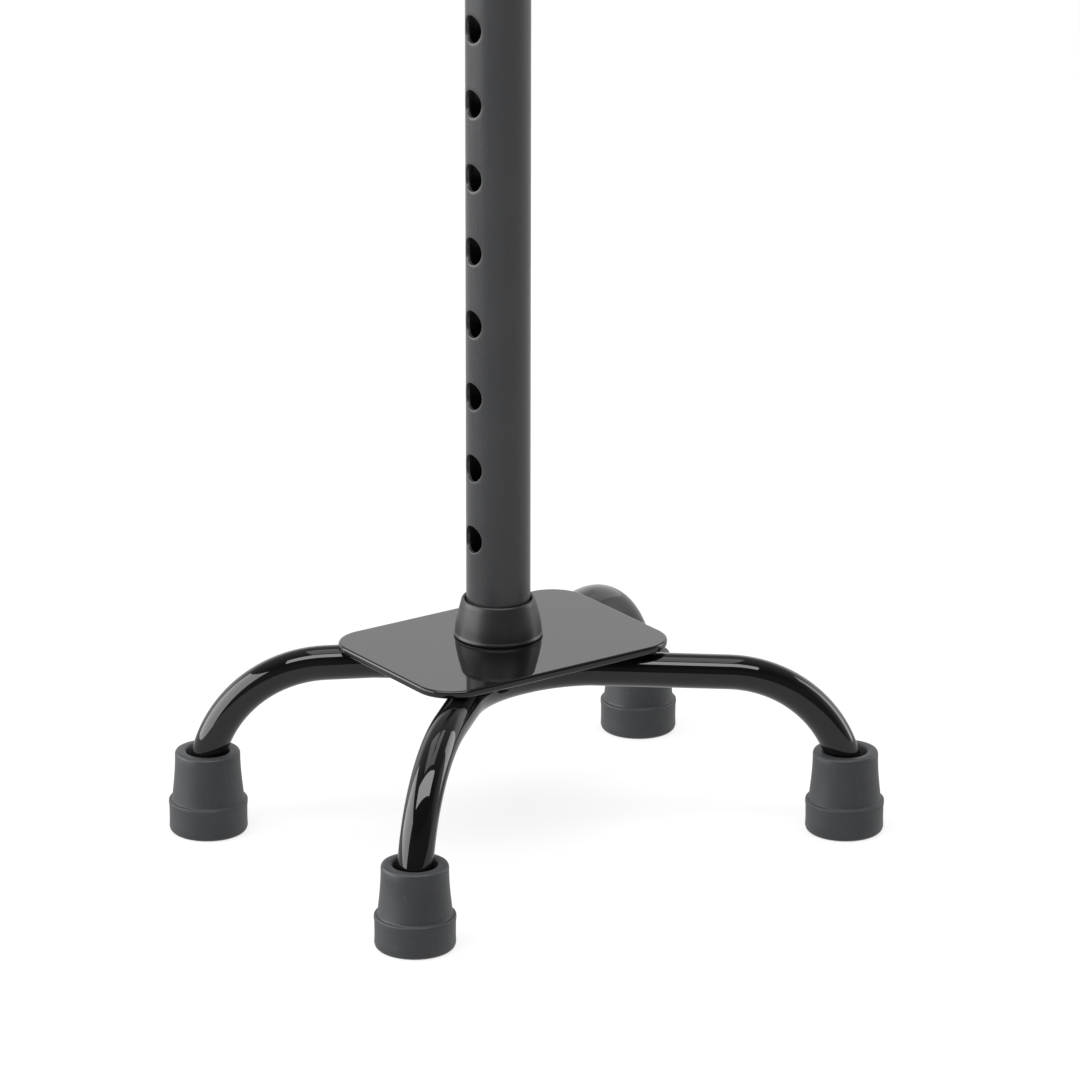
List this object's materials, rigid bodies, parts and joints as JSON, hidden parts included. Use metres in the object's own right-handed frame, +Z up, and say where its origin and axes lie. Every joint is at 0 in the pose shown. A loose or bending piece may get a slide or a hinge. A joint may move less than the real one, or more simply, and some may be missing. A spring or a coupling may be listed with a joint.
{
  "type": "quad walking cane",
  "caption": "Height-adjustable walking cane on a small four-foot base, with a stem of adjustment holes, a locking collar and an offset handle with a foam grip.",
  "frame": {"origin": "middle of the four feet's outline, on the floor", "axes": "+Z up along the stem, +X the walking direction that the grip points in, +Y the user's left; the stem axis stands at x = -9.2 mm, y = 5.4 mm"},
  "size_m": [0.2082, 0.1556, 0.9526],
  "materials": {
    "gloss_black_metal": "mirror-gloss black powder coat on steel",
    "charcoal_tube": "satin charcoal anodised aluminium tube",
    "black_rubber": "matte charcoal-black moulded rubber",
    "steel": "bright zinc-plated steel",
    "black_plastic": "finely grained moulded nylon",
    "natural_plastic": "smooth natural acetal",
    "grip_foam": "closed-cell black foam"
  },
  "bodies": {
    "base": {"base_plate": "gloss_black_metal", "leg_tube_right": "gloss_black_metal", "leg_tube_left": "gloss_black_metal", "leg_welds": "gloss_black_metal", "foot_front_right": "black_rubber", "foot_front_left": "black_rubber", "foot_rear_right": "black_rubber", "foot_rear_left": "black_rubber", "foot_washers": "steel", "stem_spigot": "steel", "spigot_weld": "gloss_black_metal", "spigot_rivets": "steel", "stem_boot": "black_rubber", "lower_tube": "charcoal_tube", "collar_body": "black_plastic"},
    "lock_ring": {"lock_ring": "black_plastic"},
    "bush": {"collar_bush": "natural_plastic"},
    "handle": {"upper_tube": "charcoal_tube", "tube_end_guide": "black_plastic", "button_spring": "steel", "handle_grip": "grip_foam", "handle_end_plug": "black_plastic"},
    "button": {"snap_button": "steel"}
  },
  "joints": [
    {"name": "lock_ring_turn", "type": "hinge", "parent": "base", "child": "lock_ring", "pos_m": [-0.0092, 0.0054, 0.46], "axis": [0, 0, 1], "range_deg": [0, 120]},
    {"name": "shaft_turn", "type": "hinge", "parent": "base", "child": "bush", "pos_m": [-0.0092, 0.0054, 0.46], "axis": [0, 0, 1], "range_deg": [0, 180], "deforming": ["snap_button"]},
    {"name": "height_slide", "type": "slide", "parent": "bush", "child": "handle", "axis": [0, 0, 1], "range_m": [-0.2032, 0.0254], "deforming": ["snap_button"]},
    {"name": "button_press", "type": "slide", "parent": "handle", "child": "button", "axis": [1, 0, 0], "range_m": [0, 0.0033], "stiffness_N_per_m": 900, "deforming": ["button_spring"]}
  ]
}
